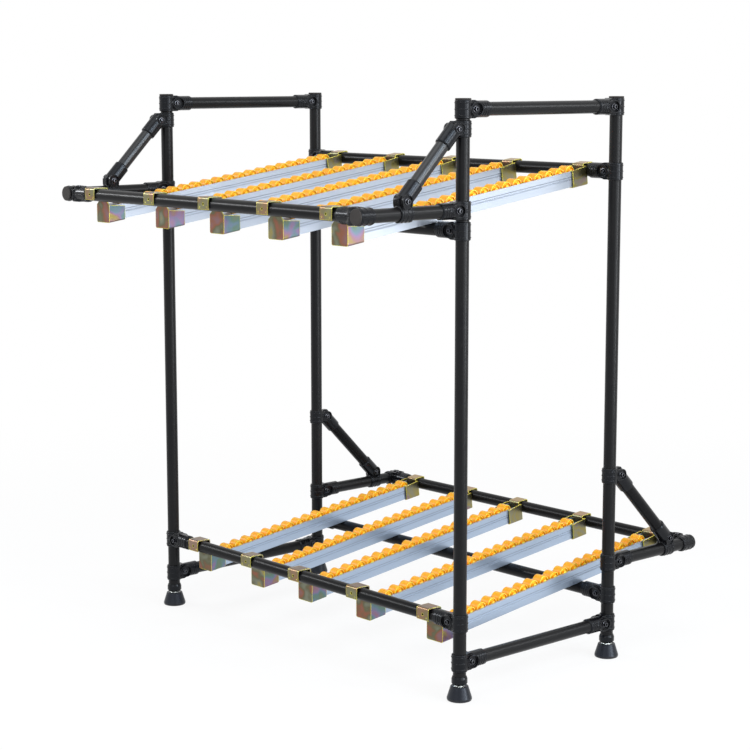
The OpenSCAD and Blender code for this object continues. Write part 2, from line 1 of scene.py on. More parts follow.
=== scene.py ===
# %% [markdown]
# # A flow rack with roller tracks, dressed for the camera
#
# The rack is a frame of black coated tube held together by bolted two-shell joints. Two sloping
# decks carry roller tracks: aluminium channels in which orange wheels turn on steel axles, hung
# from the beams in yellow-chromated sheet brackets. The solids come ready made and stay where
# they are. This script gives every one of them a finish, computes the threaded pieces that the
# solids leave plain, and lights the whole.

import json
import math

import bpy
import numpy as np
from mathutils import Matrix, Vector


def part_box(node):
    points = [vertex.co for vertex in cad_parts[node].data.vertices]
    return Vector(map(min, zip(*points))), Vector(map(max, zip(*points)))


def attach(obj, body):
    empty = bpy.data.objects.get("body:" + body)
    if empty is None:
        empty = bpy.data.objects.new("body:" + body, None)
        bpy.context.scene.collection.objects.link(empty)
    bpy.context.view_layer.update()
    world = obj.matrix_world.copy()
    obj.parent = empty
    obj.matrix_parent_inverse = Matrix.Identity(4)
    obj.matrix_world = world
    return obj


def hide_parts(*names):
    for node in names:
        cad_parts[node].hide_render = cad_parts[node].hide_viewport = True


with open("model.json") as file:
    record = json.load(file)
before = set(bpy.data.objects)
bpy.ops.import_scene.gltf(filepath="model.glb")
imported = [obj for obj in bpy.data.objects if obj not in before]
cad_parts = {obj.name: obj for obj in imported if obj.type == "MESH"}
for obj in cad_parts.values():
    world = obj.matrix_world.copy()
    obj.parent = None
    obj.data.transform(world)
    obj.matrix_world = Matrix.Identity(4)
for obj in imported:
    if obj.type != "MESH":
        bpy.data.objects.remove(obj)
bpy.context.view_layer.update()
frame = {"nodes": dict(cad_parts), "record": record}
nodes = frame["nodes"]
mm = 0.001

# %% [markdown]
# ## Finishes as expressions
#
# A finish is a node tree, and a tree is easier to read as arithmetic. `Value` wraps one output
# socket, so `1 - mask` adds a Math node by itself. `Finish` owns a material: `add` makes any
# other node from its type, its settings and what its sockets get, and `set` feeds the shader.
# What is constant over the surface goes straight onto the shader's own sockets. Patterns are
# placed in Object coordinates, because the solids have no texture map of their own.


# %% One number that varies over a surface
class Value:
    """An output socket; arithmetic on it adds a Math node and gives the result as a Value."""

    def __init__(self, finish, socket):
        self.finish = finish
        self.socket = socket

    def math(self, operation, *terms):
        return self.finish.add("ShaderNodeMath", {"operation": operation}, *terms)

    def __add__(self, other):
        return self.math("ADD", self, other)

    def __sub__(self, other):
        return self.math("SUBTRACT", self, other)

    def __rsub__(self, other):
        return self.math("SUBTRACT", other, self)

    def __mul__(self, other):
        return self.math("MULTIPLY", self, other)

    def __mod__(self, other):
        return self.math("FLOORED_MODULO", self, other)

    def __pow__(self, other):
        return self.math("POWER", self, other)

    def __abs__(self):
        return self.math("ABSOLUTE", self)

    __radd__ = __add__
    __rmul__ = __mul__


print("a Value knows + - * % ** and abs")

# %% A material and the nodes in it
bevel_samples = 6


class Finish:
    """A material on the Principled shader, built up from Values."""

    def __init__(self, name, **constants):
        self.material = bpy.data.materials.new(name)
        self.material.use_nodes = True
        self.tree = self.material.node_tree
        self.shader = self.tree.nodes["Principled BSDF"]
        for socket, constant in constants.items():
            self.shader.inputs[socket.replace("_", " ")].default_value = constant
        self.place = self.add("ShaderNodeTexCoord", out="Object")

    def feed(self, socket, term):
        """A Value is linked to the socket, a constant is written on it."""
        if isinstance(term, Value):
            self.tree.links.new(term.socket, socket)
        else:
            socket.default_value = term

    def add(self, kind, settings=None, *terms, out=0, **named):
        """Any node: settings first (a ramp's stops too), then its sockets in order or by name."""
        node = self.tree.nodes.new(kind)
        for name, setting in (settings or {}).items():
            if name == "stops":
                ramp = node.color_ramp
                while len(ramp.elements) < len(setting):
                    ramp.elements.new(0.5)
                for element, (at, colour) in zip(ramp.elements, setting):
                    element.position = at
                    element.color = (*colour, 1.0)
            else:
                setattr(node, name, setting)
        for index, term in enumerate(terms):
            self.feed(node.inputs[index], term)
        for name, term in named.items():
            self.feed(node.inputs[name.replace("_", " ")], term)
        return Value(self, node.outputs[out])

    def set(self, socket, term):
        self.feed(self.shader.inputs[socket], term)

    def vector(self, operation, *terms, out=0):
        settings = {"operation": operation}
        return self.add("ShaderNodeVectorMath", settings, *terms, out=out)

    def axis(self, x, y, z, offset=0.0):
        """Distance in metres along one direction, from the given offset."""
        return self.vector("DOT_PRODUCT", self.place, (x, y, z), out="Value") - offset

    def noise(self, scale, detail=3.0, roughness=0.55, distortion=0.0, at=None):
        """Cloudy values from 0 to 1; scale is in clouds per metre."""
        return self.add(
            "ShaderNodeTexNoise",
            None,
            Vector=at or self.place,
            Scale=scale,
            Detail=detail,
            Roughness=roughness,
            Distortion=distortion,
        )

    def between(self, term, low, high, to_low=0.0, to_high=1.0):
        """The term carried from one range to another, smoothly and without overshoot."""
        settings = {"interpolation_type": "SMOOTHSTEP"}
        return self.add("ShaderNodeMapRange", settings, term, low, high, to_low, to_high)

    def ring(self, radius, at, width):
        """1 where the radius has the given size, falling to 0 half a width away."""
        return self.between(abs(radius - at), 0.2 * width, 0.5 * width, 1.0, 0.0)

    def ramp(self, term, stops):
        return self.add("ShaderNodeValToRGB", {"stops": stops}, term)

    def mix(self, factor, low, high):
        """Blend of two colours."""
        node = self.tree.nodes.new("ShaderNodeMix")
        node.data_type = "RGBA"
        self.feed(node.inputs[0], factor)
        for socket, colour in ((node.inputs[6], low), (node.inputs[7], high)):
            self.feed(socket, colour if isinstance(colour, Value) else (*colour, 1.0))
        return Value(self, node.outputs[2])

    def relief(self, height, depth, strength, rounding=0.0):
        """Bump of the given depth in metres, over edges rounded by so many metres."""
        base = {"Normal": self.rounded(rounding)} if rounding else {}
        bump = self.add(
            "ShaderNodeBump", None, Strength=strength, Distance=depth, Height=height, **base
        )
        self.set("Normal", bump)

    def rounded(self, radius):
        """The surface's direction with its sharp edges softened over the given radius."""
        settings = {"samples": bevel_samples}
        return self.add("ShaderNodeBevel", settings, Radius=radius, out="Normal")

    def facing(self, x, y, z):
        """1 where a face looks along the given axis, either way; 0 where it is square to it."""
        outward = self.add("ShaderNodeNewGeometry", out="True Normal")
        return abs(self.vector("DOT_PRODUCT", outward, (x, y, z), out="Value"))

    def edge(self, radius, sharpness=3.0):
        """1 on sharp edges, 0 a radius away: how far the softened direction leans."""
        outward = self.add("ShaderNodeNewGeometry", out="True Normal")
        along = self.vector("DOT_PRODUCT", self.rounded(radius), outward, out="Value")
        return self.between((1 - along) * sharpness, 0.0, 1.0)


finishes = {}
print("finish tools ready")

# %% [markdown]
# ## Coated tube
#
# The tube is thin steel pipe in a black resin skin. The skin is nearly black, a little brown in
# places, and hardly mirrors anything but a lamp. A plain black shader would leave a silhouette;
# here a low specular level keeps the highlights narrow, fine grain breaks them up, and specks
# and scuffs of pale dust show where a dark tube has no highlight. One function makes three
# tubes, because the skin is not equally glossy everywhere: the posts and bars are the common
# one, the upper braces are glossier, and the beams and lower braces are duller.


# %% Coated tube
def coated_tube(name, gloss, roughness):
    look = Finish(name, Specular_IOR_Level=gloss, Specular_Tint=(0.92, 0.96, 1.0, 1.0))
    clouds = look.noise(9.0)
    grain = look.noise(520.0, detail=2.0)
    base = look.mix(clouds, (0.0020, 0.0021, 0.0030), (0.0062, 0.0056, 0.0054))
    specks = look.between(look.noise(1100.0, detail=1.0), 0.70, 0.78)
    scuffs = look.between(look.noise(60.0, detail=5.0, roughness=0.7), 0.60, 0.75)
    dusty = look.mix(specks * 0.25 + scuffs * 0.05, base, (0.14, 0.13, 0.12))
    look.set("Base Color", dusty)
    look.set("Roughness", roughness + 0.10 * clouds + 0.05 * grain)
    look.relief(grain, 0.05 * mm, strength=0.10)
    return look.material


finishes["coated_tube"] = coated_tube("coated_tube", gloss=0.22, roughness=0.24)
finishes["glossy_tube"] = coated_tube("glossy_tube", gloss=0.50, roughness=0.21)
finishes["matt_tube"] = coated_tube("matt_tube", gloss=0.12, roughness=0.22)
print("tube finishes:", sorted(finishes))

# %% [markdown]
# ## Joint shells
#
# The joints are steel pressings with an electro-coat: lumpier than the tube, bluish where they
# catch the light, and worn to grey on their rims. Their sharp edges could be cut round in the
# mesh, at the price of many faces; a Bevel node in the shader rounds them for the light alone.
# The same node finds the rims: where the rounded direction leans away from the true one there
# is an edge, and noise decides how much of it is worn.


# %% Joint shells
def joint_black():
    look = Finish("joint_black", Specular_IOR_Level=0.25, Specular_Tint=(0.84, 0.91, 1.0, 1.0))
    clouds = look.noise(26.0)
    grain = look.noise(260.0, detail=3.0)
    base = look.mix(clouds, (0.0015, 0.0016, 0.0028), (0.0050, 0.0048, 0.0052))
    worn = look.edge(1.0 * mm) * look.between(look.noise(90.0, detail=4.0), 0.35, 0.65)
    look.set("Base Color", look.mix(worn * 0.35, base, (0.105, 0.098, 0.092)))
    look.set("Roughness", 0.15 + 0.12 * clouds + 0.05 * grain)
    look.relief(grain, 0.20 * mm, strength=0.25, rounding=1.4 * mm)
    return look.material


finishes["joint_black"] = joint_black()
finishes["foot_socket_black"] = finishes["joint_black"]
print("the sockets over the feet share the joints' finish")

# %% [markdown]
# ## Plastic caps and feet
#
# The plugs in the tube ends are dull moulded plastic, a little lighter than the tube. The cones
# of the feet are glossier, and paler in patches over their lowest centimetre. A mask on the
# height above the floor, broken up by noise, puts the pale patches only there.


# %% Plugs
def cap_plastic():
    look = Finish("cap_plastic", Specular_IOR_Level=0.22)
    clouds = look.noise(60.0)
    grain = look.noise(1400.0, detail=2.0)
    look.set("Base Color", look.mix(clouds, (0.026, 0.023, 0.021), (0.042, 0.038, 0.036)))
    look.set("Roughness", 0.55 + 0.12 * grain)
    look.relief(grain, 0.1 * mm, strength=0.4, rounding=1.0 * mm)
    return look.material


finishes["cap_plastic"] = cap_plastic()
print("plugs done")

# %% Feet
pale_band_height = 9 * mm


def foot_plastic():
    look = Finish("foot_plastic", Specular_IOR_Level=0.36, Specular_Tint=(0.74, 0.84, 1.0, 1.0))
    clouds = look.noise(60.0)
    # paler in patches over the lowest centimetre above the floor
    pale_patches = look.between(look.axis(0, 0, 1), 0.0, pale_band_height, 1.0, 0.0)
    base = look.mix(clouds, (0.0030, 0.0034, 0.0055), (0.0070, 0.0070, 0.0095))
    look.set("Base Color", look.mix(pale_patches * clouds * 0.4, base, (0.11, 0.10, 0.09)))
    look.set("Roughness", 0.30 + 0.10 * clouds)
    look.relief(look.noise(700.0), 0.1 * mm, strength=0.25, rounding=1.0 * mm)
    return look.material


finishes["foot_plastic"] = foot_plastic()
print("feet dusty up to", pale_band_height / mm, "mm")

# %% [markdown]
# ## Where things are
#
# Everything below hangs on the same few points as the solids. The beams and posts give them:
# the middle of a tube's box is its axis. A deck is known by its two beams and by how far the
# rails' top edge passes below the front one and above the rear one; that fixes its climb, and
# with it the axle of every wheel.


# %% Axes
def middle(name):
    """Centre of a solid's box, in metres."""
    low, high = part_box(name)
    return (np.array(low) + np.array(high)) / 2.0


print("front right post stands at", middle("post_front_right")[:2])

# %% Decks
wheels_on_track = 19
first_wheel = 80 * mm  # from the front beam to the first axle
last_wheel = 55 * mm  # from the last axle to the rear beam
rail_drop = 29 * mm  # from the front beam's axis down to the rails' top edge
rail_rise = 7 * mm  # from the rear beam's axis up to it
axle_sink = 3 * mm  # from that edge down to the axles


def measure_deck(front_beam, rear_beam):
    """A deck's own directions, its first axle's place along and square to it, its wheel pitch."""
    front = middle(front_beam)
    _, forth, up = middle(rear_beam) - front
    length = math.hypot(forth, up)
    lift = rail_drop + rail_rise
    climb = math.atan2(up, forth) + math.asin(lift / length)
    along = np.array([0.0, math.cos(climb), math.sin(climb)])
    square = np.array([0.0, -math.sin(climb), math.cos(climb)])
    run = math.sqrt(length**2 - lift**2)
    pitch = (run - first_wheel - last_wheel) / (wheels_on_track - 1)
    first = front @ along + first_wheel
    height = front @ square - rail_drop - axle_sink
    return {"along": along, "square": square, "first": first, "height": height, "pitch": pitch}


upper_deck = measure_deck("upper_front_beam", "upper_rear_beam")
lower_deck = measure_deck("lower_front_beam", "lower_rear_beam")
for name, deck in (("upper", upper_deck), ("lower", lower_deck)):
    climb = math.degrees(math.asin(deck["along"][2]))
    print(name, "deck climbs", round(climb, 2), "degrees, a wheel every", deck["pitch"] / mm, "mm")

# %% [markdown]
# ## Rails
#
# The rails are drawn and satin anodised. Drawing leaves faint streaks, so the grain is stretched
# along the deck: its noise is read 250 times slower lengthways than across. The anodised skin
# scatters what it mirrors, which takes a fairly high roughness and a little less than full
# metal. Below the wheels a single groove and then a pair of finer ones run along the sides;
# their shade is painted into the colour as dark lines. Both decks share the function, each with
# its own directions and its own tones; the lower deck's tones are darker and bluer: painted
# shade.

# %% Anodised rails
streak_length = 250
single_groove = 9.5 * mm  # below the axle
twin_grooves = 14.8 * mm  # to the middle of the pair


def aluminium(name, deck, low, high):
    look = Finish(name, Metallic=0.8)
    across = look.axis(1, 0, 0)
    lengthways = look.axis(*deck["along"])
    upright = look.axis(*deck["square"])
    slowed = lengthways * (1 / streak_length)
    streaks = look.add("ShaderNodeCombineXYZ", None, across, slowed, upright)
    drawn = look.noise(160.0, detail=4.0, at=streaks)
    fine = look.noise(2600.0, detail=2.0, at=streaks)
    clouds = look.noise(5.0)
    smudge = look.between(look.noise(14.0, detail=5.0, roughness=0.7), 0.58, 0.72)
    below_axle = deck["height"] - upright
    single = look.ring(below_axle, single_groove, 2.6 * mm)
    twins = look.ring(below_axle, twin_grooves, 3.6 * mm)
    # painted shade: dark lines along the single groove and the finer pair
    grooves = single + 0.7 * twins
    tone = look.mix(drawn * 0.4 + clouds * 0.6, low, high)
    tone = look.mix(smudge * 0.06, tone, (0.40, 0.39, 0.38))
    look.set("Base Color", look.mix(grooves * 0.6, tone, (0.20, 0.22, 0.26)))
    look.set("Roughness", 0.32 + 0.04 * fine + 0.04 * smudge)
    look.relief(fine, 0.01 * mm, strength=0.1)
    return look.material


upper_tones = (0.45, 0.51, 0.60), (0.56, 0.62, 0.71)
# painted shade: the lower deck's rails get darker, bluer tones than the upper deck's
shaded_lower_tones = (0.36, 0.45, 0.58), (0.46, 0.55, 0.68)
finishes["rail_aluminium"] = aluminium("rail_aluminium", upper_deck, *upper_tones)
finishes["lower_rail"] = aluminium("lower_rail", lower_deck, *shaded_lower_tones)
print("rail streaks stretched", streak_length, "times")

# %% [markdown]
# ## Plain zinc
#
# Axles, studs and screws are zinc plated steel. Zinc is a true metal with a fine crystal grain,
# and differs only in how dark it has gone: the studs are bright, the axles grey, and the screws
# in the black joints nearly black.


# %% Zinc plate
def plated(name, low, high, roughness):
    look = Finish(name, Metallic=1.0)
    clouds = look.noise(150.0)
    grain = look.noise(900.0)
    look.set("Base Color", look.mix(clouds * 0.6 + grain * 0.4, low, high))
    look.set("Roughness", roughness + 0.12 * clouds)
    look.relief(grain, 0.05 * mm, strength=0.3, rounding=0.4 * mm)
    return look.material


finishes["axle_steel"] = plated("axle_steel", (0.40, 0.40, 0.42), (0.60, 0.60, 0.62), 0.25)
finishes["stud_zinc"] = plated("stud_zinc", (0.62, 0.66, 0.66), (0.88, 0.92, 0.90), 0.20)
finishes["dark_zinc"] = plated("dark_zinc", (0.035, 0.036, 0.042), (0.12, 0.125, 0.14), 0.20)
print("finishes so far:", len(finishes))

# %% [markdown]
# ## Yellow chromate
#
# The brackets are zinc plated and then dipped in yellow chromate, a film so thin that its colour
# follows its thickness: it runs from olive through orange and plum to blue. Every edge is given a
# painted highlight of bright yellow. Real thin-film colours could be computed, but a ramp is
# easier to steer. A slow noise stands for the thickness. Walls that hung the other way in the
# bath dried differently, so there is one ramp for the walls that look along the rack and another
# for the side walls, a third pair of colours for level faces, and a duller tone for the hook that
# wraps the beam.

# %% Chromate colours
olive = (0.13, 0.125, 0.075)
grey_green = (0.19, 0.20, 0.15)
straw = (0.30, 0.25, 0.08)
rust = (0.25, 0.105, 0.065)
plum = (0.22, 0.13, 0.14)
lilac = (0.25, 0.18, 0.30)
blue = (0.15, 0.22, 0.28)
pink = (0.28, 0.17, 0.20)
teal = (0.14, 0.22, 0.17)
khaki = (0.25, 0.24, 0.17)
copper = (0.50, 0.24, 0.13)
brass = (0.42, 0.36, 0.13)
# the colour of the painted edge highlight
highlight_yellow = (0.88, 0.80, 0.08)
end_walls = [(0.0, straw), (0.18, grey_green), (0.50, olive), (0.72, rust), (1.0, plum)]
front_side_walls = [
    (0.0, grey_green),
    (0.22, teal),
    (0.45, blue),
    (0.66, lilac),
    (0.84, pink),
    (1.0, straw),
]
rear_side_walls = [(0.0, straw), (0.35, khaki), (0.60, straw), (0.80, khaki), (1.0, pink)]
print("ramps of", len(end_walls), len(front_side_walls), "and", len(rear_side_walls), "colours")

# %% Chromated sheet
hook_reach = 15 * mm  # from the beam's axis; the sheet that wraps it ends within the fade
hook_fade = 3 * mm


def yellow_zinc(name, upper_beam, lower_beam, side_walls, level_faces):
    look = Finish(name, Metallic=1.0)
    slow = look.noise(24.0, detail=1.0, roughness=0.5, distortion=0.5)
    quick = look.noise(130.0, detail=4.0, roughness=0.65)
    film = look.between(slow * 0.88 + quick * 0.12, 0.22, 0.76)
    side = look.between(look.facing(1, 0, 0), 0.55, 0.85)
    colour = look.mix(side, look.ramp(film, end_walls), look.ramp(film, side_walls))
    level = look.between(look.facing(0, 0, 1), 0.75, 0.9)
    colour = look.mix(level * 0.7, colour, look.mix(film, *level_faces))
    height = look.axis(0, 0, 1)
    from_upper = abs(height - middle(upper_beam)[2])
    from_lower = abs(height - middle(lower_beam)[2])
    from_beam = from_upper.math("MINIMUM", from_upper, from_lower)
    hook = look.between(from_beam, hook_reach, hook_reach + hook_fade, 1.0, 0.0)
    hook_tone = look.mix(film, (0.20, 0.21, 0.10), (0.30, 0.21, 0.13))
    colour = look.mix(hook * (1 - level) * (1 - side) * 0.6, colour, hook_tone)
    # painted highlight: bright yellow laid along every edge
    edge_highlight = look.edge(2.6 * mm, sharpness=5.0)
    look.set("Base Color", look.mix(edge_highlight * 0.9, colour, highlight_yellow))
    look.set("Roughness", 0.24 + 0.18 * quick)
    look.relief(look.noise(500.0), 0.06 * mm, strength=0.3, rounding=1.0 * mm)
    return look.material


beams = ("upper_front_beam", "lower_front_beam")
finishes["yellow_zinc"] = yellow_zinc("yellow_zinc", *beams, front_side_walls, (rust, olive))
beams = ("upper_rear_beam", "lower_rear_beam")
finishes["rear_zinc"] = yellow_zinc("rear_zinc", *beams, rear_side_walls, (copper, brass))
print("finishes so far:", len(finishes))

# %% [markdown]
# ## Wheels
#
# A skate wheel is moulded in one piece: a tread, a thin rim, a recessed web and a hub. The rim
# and the end of the hub are painted paler, as painted light for the glow through the thin
# plastic. The tread's edges carry a painted highlight, and the web is painted lighter than the
# tread, painted light against the shade of its recess. The pale rings depend on the distance
# from the wheel's own axle,
#
#     r = sqrt(s² + n²),  s = (distance along the deck − first axle) modulo the wheel pitch
#
# with n the distance square to the deck. One formula serves all wheels of a deck. A little
# subsurface scattering lets the light through, as the plastic does.

# %% Wheel plastic
rim_radius = 12.6 * mm
hub_radius = 5.2 * mm


def wheel_orange(name, deck):
    look = Finish(name, Specular_IOR_Level=0.32, Subsurface_Weight=0.4, Subsurface_Scale=0.010)
    half = deck["pitch"] / 2.0
    along = look.axis(*deck["along"], offset=deck["first"] - half) % deck["pitch"] - half
    square = look.axis(*deck["square"], offset=deck["height"])
    radius = (along * along + square * square) ** 0.5
    side = look.between(look.facing(1, 0, 0), 0.6, 0.9)
    clouds = look.noise(70.0)
    tread = look.mix(clouds, (1.0, 0.40, 0.006), (1.0, 0.49, 0.014))
    # painted highlight: a paler line along the tread's edges
    tread = look.mix(look.edge(0.7 * mm) * 0.5, tread, (1.0, 0.64, 0.12))
    # painted light: the web is lighter than the tread, against the shade of its recess
    web_painted_light = look.mix(clouds, (1.0, 0.48, 0.010), (1.0, 0.56, 0.020))
    # painted light: pale rings at the rim and the hub end, for the glow through thin plastic
    painted_glow_rings = look.ring(radius, rim_radius, 3.4 * mm) + look.ring(radius, hub_radius, 2.4 * mm)
    face = look.mix(painted_glow_rings, web_painted_light, (1.0, 0.68, 0.09))
    look.set("Base Color", look.mix(side, tread, face))
    look.set("Roughness", 0.30 + 0.12 * clouds)
    look.relief(clouds, 0.1 * mm, strength=0.2, rounding=0.6 * mm)
    return look.material


finishes["upper_wheel"] = wheel_orange("upper_wheel", upper_deck)
finishes["lower_wheel"] = wheel_orange("lower_wheel", lower_deck)
print("wheels pale at", rim_radius / mm, "and", hub_radius / mm, "mm from the axle")

# %% [markdown]
# ## Dressing the solids
#
# Every solid comes with the name of the stuff it is made of, and most take the finish of that
# name. A few need more: the wheels and rails of each deck carry their own deck's directions, the
# rear brackets dried in other colours than the front ones, and some tubes are duller or
# glossier than the rest.

# %% Dress the solids
slot_of = {part["node"]: part["material_slot"] for part in frame["record"]["subparts"]}
finish_of = {name: slot_of[name] for name in nodes}
for name in nodes:
    if slot_of[name] == "wheel_orange":
        finish_of[name] = "lower_wheel" if name == "lower_wheels" else "upper_wheel"
    if name.endswith("_beam"):
        finish_of[name] = "matt_tube"
finish_of["upper_braces"] = "glossy_tube"
finish_of["lower_braces"] = "matt_tube"
# the lower rails take the finish with the darker tones of painted shade
finish_of["lower_rails"] = "lower_rail"
finish_of["rear_brackets"] = "rear_zinc"
for name, solid in nodes.items():
    solid.data.materials.clear()
    solid.data.materials.append(finishes[finish_of[name]])
print("dressed", len(nodes), "solids in", len(set(finish_of.values())), "finishes")

# %% [markdown]
# ## Turned and threaded pieces
#
# A screw is nearly a solid of revolution. Written as a radius that depends on the angle and the
# height, r(θ, z), it can be one grid of points from tip to head:
#
# - a plain part: r = R
# - a thread: the phase p = z / pitch − θ / 2π runs once round for every pitch climbed, and
#   r = R − depth · clip((|2 (p mod 1) − 1| − flat) / (1 − 2 flat), 0, 1)
# - a hexagon: r = (flats / 2) / cos((θ mod 60°) − 30°), limited by the turned corners
# - a knurl: every second column of the grid a little further in
#
# Each function gives a band of rows; the bands are stacked, and numpy turns all rows and
# columns into points at once. Sizes are in millimetres until the points are made.

# %% Bands of rows
columns = 48
rows_per_turn = 9
thread_flat = 0.12
thread_depth = 0.61  # of the pitch
theta = np.arange(columns) * 2 * np.pi / columns


def plain(heights, radii):
    """Rows of constant radius."""
    return np.array(heights, float), np.array(radii, float)[:, None] + 0.0 * theta


def thread(low, high, radius, pitch):
    """Helical thread of 60 degree flanks between two heights."""
    heights = np.linspace(low, high, int((high - low) / pitch * rows_per_turn))
    phase = heights[:, None] / pitch - theta / (2 * np.pi)
    flank = (abs(2 * (phase % 1.0) - 1) - thread_flat) / (1 - 2 * thread_flat)
    return heights, radius - thread_depth * pitch * np.clip(flank, 0.0, 1.0)


def hexagon(heights, flats, corners):
    """Six flats, cut off where they reach past the radius given for each row."""
    prism = flats / 2 / np.cos(theta % (np.pi / 3) - np.pi / 6)
    return np.array(heights, float), np.minimum(prism, np.array(corners, float)[:, None])


def knurl(heights, radii, depth):
    """Fine grooves down the side of a screw head."""
    heights, rows = plain(heights, radii)
    return heights, rows - depth * (np.arange(columns) % 2)


def stack(*bands):
    """All bands as one grid of points (row, column, xyz), in metres."""
    heights = np.concatenate([band[0] for band in bands])[:, None] + 0.0 * theta
    radii = np.vstack([band[1] for band in bands])
    return np.stack([radii * np.cos(theta), radii * np.sin(theta), heights], axis=-1) * mm


print("bands of", columns, "columns,", rows_per_turn, "rows to a turn of thread")

# %% [markdown]
# ## From a grid to an object
#
# Neighbouring points of the grid make quads, the last column joins the first, and one flat face
# closes each end. Indices are worked out for all quads together, which is quick and leaves the
# mesh closed. The surface is smooth except where it turns sharply. A texture map follows from
# the grid itself: once round, once up.

# %% From grids to an object
sharp_angle = math.radians(32)


def piece(name, grids, finish):
    """One object from grids of points (copy, row, column, xyz) that close round the columns."""
    copies, rows, around, _ = grids.shape
    index = np.arange(copies * rows * around).reshape(copies, rows, around)
    ahead = np.roll(index, -1, axis=2)
    corners = [index[:, :-1], ahead[:, :-1], ahead[:, 1:], index[:, 1:]]
    quads = np.stack(corners, axis=-1).reshape(-1, 4)
    ends = np.concatenate([index[:, 0, ::-1], index[:, -1]])
    mesh = bpy.data.meshes.new(name)
    mesh.from_pydata(grids.reshape(-1, 3).tolist(), [], quads.tolist() + ends.tolist())
    turn = (np.arange(around) / around)[None, None, :] + np.zeros((copies, rows, 1))
    climb = (np.arange(rows) / rows)[None, :, None] + np.zeros((copies, 1, around))
    round_and_up = np.stack([turn, climb], axis=-1).reshape(-1, 2)
    corner_of = np.empty(len(mesh.loops), dtype=np.int32)
    mesh.loops.foreach_get("vertex_index", corner_of)
    mesh.uv_layers.new(name="UVMap").data.foreach_set("uv", round_and_up[corner_of].ravel())
    mesh.polygons.foreach_set("use_smooth", np.ones(len(mesh.polygons), dtype=bool))
    mesh.set_sharp_from_angle(angle=sharp_angle)
    mesh.materials.append(finishes[finish])
    thing = bpy.data.objects.new(name, mesh)
    bpy.context.scene.collection.objects.link(thing)
    print(name, copies, "copies,", len(mesh.polygons), "faces")
    return thing


def placed(grid, at, x, z):
    """A grid moved to a point, with its X and Z turned onto two directions."""
    turned = np.stack([x, np.cross(z, x), z])
    return grid @ turned + at


# %% [markdown]
# ## Levelling studs
#
# Each foot is a cone that turns freely on an M12 stud. The stud carries a flanged hexagon for
# the spanner, sunk in the top of the cone, and its thread runs up into the insert in the post.
# When the foot is screwed down the thread comes into sight, so it is cut over that length only;
# the rest, inside the post, stays a plain core. Heights are those above the floor.

# %% Threaded studs
stud_radius = 6.0
stud_core = 5.3
stud_pitch = 1.75
nut_flats = 19.0
nut_corners = 11.1
flange = 12.1
stud = stack(
    plain([6.3, 7.3, 22.4], [5.0, stud_radius, stud_radius]),
    hexagon([22.4, 23.4, 29.6], nut_flats, [9.5, nut_corners, nut_corners]),
    plain([29.6, 29.9, 30.7, 31.0], [flange - 0.4, flange, flange, flange - 0.4]),
    hexagon([31.0, 31.5, 32.2], nut_flats, [nut_corners, nut_corners, 9.6]),
    plain([32.2, 32.4], [stud_radius, stud_core]),
    thread(32.5, 62.0, stud_radius, stud_pitch),
    plain([62.2, 87.2, 88.0], [stud_core, stud_core, 4.6]),
)
for corner in ("front_left", "front_right", "rear_left", "rear_right"):
    foot = middle("foot_stud_" + corner) * [1, 1, 0]
    studding = piece("threaded_stud_" + corner, (stud + foot)[None], "stud_zinc")
    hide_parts("foot_stud_" + corner)
    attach(studding, "foot_stud_" + corner)

# %% [markdown]
# ## Where the joint screws go
#
# Every joint is clamped by one socket head screw, some way out along its branch. The list of
# joints follows the frame: for each side of the rack, twelve square joints and four 45 degree
# ones, each with the way its branch leaves and the way its screw faces. The places are read
# from the beams and posts, so only the distances along a branch or a brace are given here.

# %% The joints
square_bolt = 22 * mm  # from the joint's centre out along its branch
brace_bolt = 25 * mm
upper_leg = 163 * mm  # from the arm to where its brace meets the post, or along the arm
lower_leg = 197 * mm


def joints():
    """Point of each screw on its joint's split plane, way of the branch, way the head faces."""
    right, rear, up = np.eye(3)
    found = []
    for side in (-1.0, 1.0):
        inward = -side * right
        front = middle("post_front_right") * [side, 1, 0]
        back = middle("post_rear_right") * [side, 1, 0]
        arm_in_front = middle("upper_arms")[2] * up
        arm_behind = middle("lower_arms")[2] * up
        for post, way in ((front, rear), (back, -rear)):
            for bars in ("top_side_bars", "bottom_side_bars"):
                found.append((post + middle(bars)[2] * up, way, right, square_bolt))
        found.append((front + arm_in_front, -rear, right, square_bolt))
        found.append((back + arm_behind, rear, right, square_bolt))
        for name in ("upper_middle_beam", "upper_rear_beam", "lower_front_beam", "lower_middle_beam"):
            on_axis = middle(name) + front * [1, 0, 0]
            found.append((on_axis, inward, -rear, square_bolt))
        for name in ("upper_front_beam", "lower_rear_beam"):
            on_axis = middle(name) + front * [1, 0, 0]
            found.append((on_axis, inward, up, square_bolt))
        found.append((front + arm_in_front + upper_leg * up, -rear, right, brace_bolt))
        found.append((front + arm_in_front - upper_leg * rear, up, right, brace_bolt))
        found.append((back + arm_behind + lower_leg * up, rear, right, brace_bolt))
        found.append((back + arm_behind + lower_leg * rear, up, right, brace_bolt))
    return [(at + way * bolt, way, face) for at, way, face, bolt in found]


# %% [markdown]
# ## Joint screws
#
# A screw has a knurled head on a plain washer in the shell's pocket, a hexagon socket for the
# key, and a few threads that stand out of the nut on the other side. The shank between is out
# of sight and stays plain. The socket is the same stack of bands turned back down into the
# head. All screws are one object, because none of them moves.

